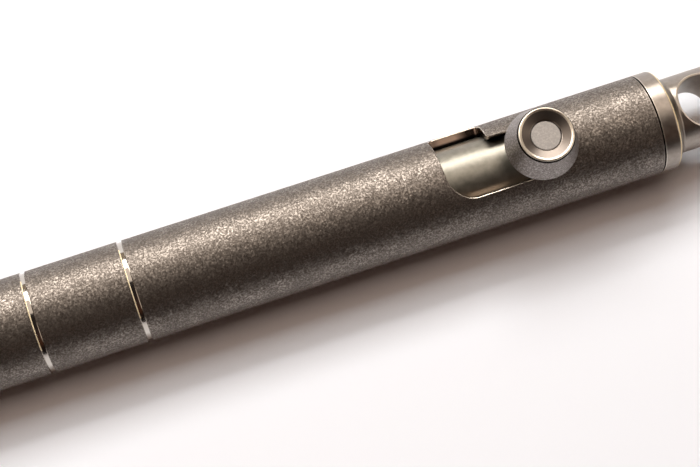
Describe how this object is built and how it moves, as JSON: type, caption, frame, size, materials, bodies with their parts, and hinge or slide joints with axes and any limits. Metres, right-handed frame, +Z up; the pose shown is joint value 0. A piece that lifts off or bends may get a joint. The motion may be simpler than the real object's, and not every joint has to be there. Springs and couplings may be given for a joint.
{
  "type": "tactical pen",
  "caption": "Bolt-action tactical pen in titanium with ringed barrel, J-slot with conical bolt knob, lanyard hole, screwed nose and tail, and a carbide striker.",
  "frame": {"origin": "on the plane the pen lies on, under the middle of its length", "axes": "+X along the pen towards its tail, +Z up along the bolt knob's stem, +Y towards the side that the bolt turns to"},
  "size_m": [0.1376, 0.0126, 0.0174],
  "materials": {
    "stonewashed_titanium": "stonewashed titanium, matt with fine bright nicks, grooves bright-cut",
    "stonewashed_titanium_nose": "stonewashed titanium, matt with fine bright nicks, grip grooves bright-cut",
    "satin_titanium": "satin titanium with fine turning lines, edges polished",
    "turned_titanium": "fine-turned satin titanium",
    "blasted_titanium": "bead-blasted titanium with a polished rim and dish",
    "blasted_stem": "bead-blasted end, turned thread",
    "polished_steel": "polished steel",
    "black_steel": "black oxide",
    "tungsten_carbide": "ground carbide",
    "seal_rubber": "matt black rubber",
    "buffer_rubber": "matt black rubber",
    "plug_plastic": "moulded black plastic",
    "refill_steel": "drawn bright steel",
    "refill_brass": "turned brass",
    "nickel_silver": "turned nickel silver",
    "spring_steel": "drawn spring wire"
  },
  "bodies": {
    "barrel_body": {"barrel": "stonewashed_titanium", "return_spring": "spring_steel"},
    "bolt": {"bolt_carriage": "turned_titanium", "carriage_o_ring": "seal_rubber", "bolt_stem": "blasted_stem", "slot_bush": "polished_steel", "bolt_knob": "blasted_titanium", "stem_lock_screw": "black_steel", "refill_pad": "buffer_rubber", "refill_plug": "plug_plastic", "refill_tube": "refill_steel", "refill_shoulder": "refill_brass", "refill_point": "nickel_silver"},
    "ball": {"writing_ball": "tungsten_carbide"},
    "nose_seal": {"nose_o_ring": "seal_rubber"},
    "nose": {"nose_cone": "stonewashed_titanium_nose"},
    "tail_seal": {"tail_o_ring": "seal_rubber"},
    "tail": {"tail_cap": "satin_titanium", "striker": "tungsten_carbide", "tail_buffer": "buffer_rubber"}
  },
  "joints": [
    {"name": "bolt_slide", "type": "slide", "parent": "barrel_body", "child": "bolt", "axis": [-1, 0, 0], "range_m": [0, 0.0087], "stiffness_N_per_m": 300, "springref_m": -0.005, "deforming": ["return_spring"]},
    {"name": "ball_roll", "type": "hinge", "parent": "bolt", "child": "ball", "pos_m": [-0.0629, 0, 0.00625], "axis": [0, 1, 0], "continuous": true},
    {"name": "nose_advance", "type": "slide", "parent": "barrel_body", "child": "nose_seal", "axis": [-1, 0, 0], "range_m": [0, 0.004]},
    {"name": "nose_turn", "type": "hinge", "parent": "nose_seal", "child": "nose", "pos_m": [-0.0448, 0, 0.00625], "axis": [-1, 0, 0], "range_deg": [0, 1440]},
    {"name": "tail_advance", "type": "slide", "parent": "barrel_body", "child": "tail_seal", "axis": [1, 0, 0], "range_m": [0, 0.003]},
    {"name": "tail_turn", "type": "hinge", "parent": "tail_seal", "child": "tail", "pos_m": [0.0537, 0, 0.00625], "axis": [1, 0, 0], "range_deg": [0, 1080]}
  ],
  "couplings": [
    {"joint": "nose_advance", "follows": "nose_turn", "m_per_rad": 0.00015915},
    {"joint": "tail_advance", "follows": "tail_turn", "m_per_rad": 0.00015915}
  ]
}
